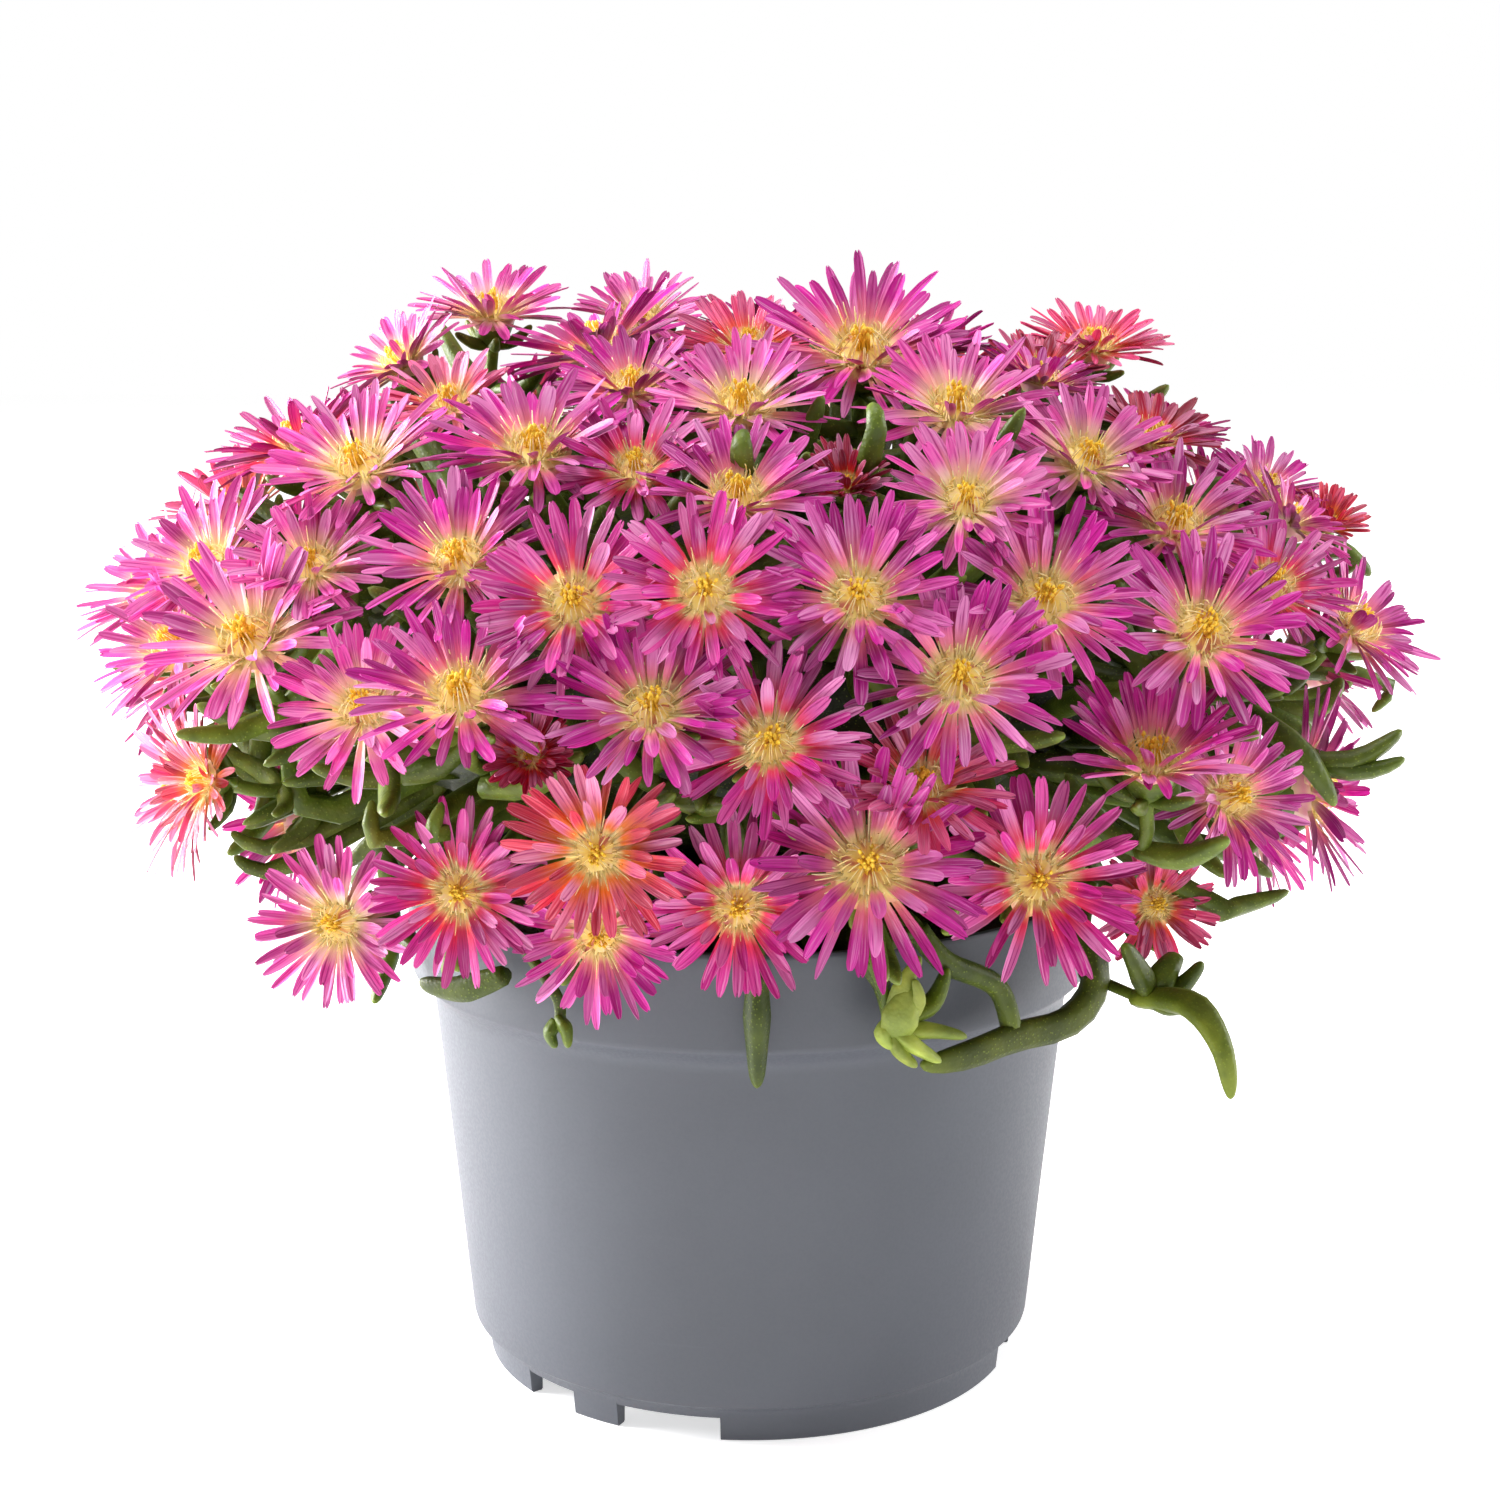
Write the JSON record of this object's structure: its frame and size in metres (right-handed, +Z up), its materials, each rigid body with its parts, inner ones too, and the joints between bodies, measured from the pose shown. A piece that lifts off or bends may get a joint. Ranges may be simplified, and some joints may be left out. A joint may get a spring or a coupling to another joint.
{
  "type": "potted ice plant",
  "caption": "Round mound of daisy-like magenta, pink and coral blooms with many narrow petals over fleshy green leaves, growing in a grey plastic nursery pot.",
  "frame": {"origin": "middle of the pot's foot, on the surface that it stands on", "axes": "+Z up along the pot's axis; the pictured front of the mound faces -Y, and +X is to its right"},
  "size_m": [0.2518, 0.2289, 0.2101],
  "materials": {
    "pot_plastic": "matt moulded, slightly uneven grey",
    "potting_soil": "rough and crumbly",
    "leaves": "waxy, with fine glassy bumps",
    "stems": "waxy",
    "petals": "silky sheen"
  },
  "bodies": {
    "root": {"pot": "pot_plastic", "soil": "potting_soil", "foliage": "leaves", "trailing_stem_front": "stems", "trailing_stem_left": "stems", "trailing_stem_right": "stems", "bloom_01": "petals", "bloom_02": "petals", "bloom_03": "petals", "bloom_04": "petals", "bloom_05": "petals", "bloom_06": "petals", "bloom_07": "petals", "bloom_08": "petals", "bloom_09": "petals", "bloom_10": "petals", "bloom_11": "petals", "bloom_12": "petals", "bloom_13": "petals", "bloom_14": "petals", "bloom_15": "petals", "bloom_16": "petals", "bloom_17": "petals", "bloom_18": "petals", "bloom_19": "petals", "bloom_20": "petals", "bloom_21": "petals", "bloom_22": "petals", "bloom_23": "petals", "bloom_24": "petals", "bloom_25": "petals", "bloom_26": "petals", "bloom_27": "petals", "bloom_28": "petals", "bloom_29": "petals", "bloom_30": "petals", "bloom_31": "petals", "bloom_32": "petals", "bloom_33": "petals", "bloom_34": "petals", "bloom_35": "petals", "bloom_36": "petals", "bloom_37": "petals", "bloom_38": "petals", "bloom_39": "petals", "bloom_40": "petals", "bloom_41": "petals", "bloom_42": "petals", "bloom_43": "petals", "bloom_44": "petals", "bloom_45": "petals", "bloom_46": "petals", "bloom_47": "petals", "bloom_48": "petals", "bloom_49": "petals", "bloom_50": "petals", "bloom_51": "petals", "bloom_52": "petals", "bloom_53": "petals", "bloom_54": "petals"}
  },
  "joints": []
}
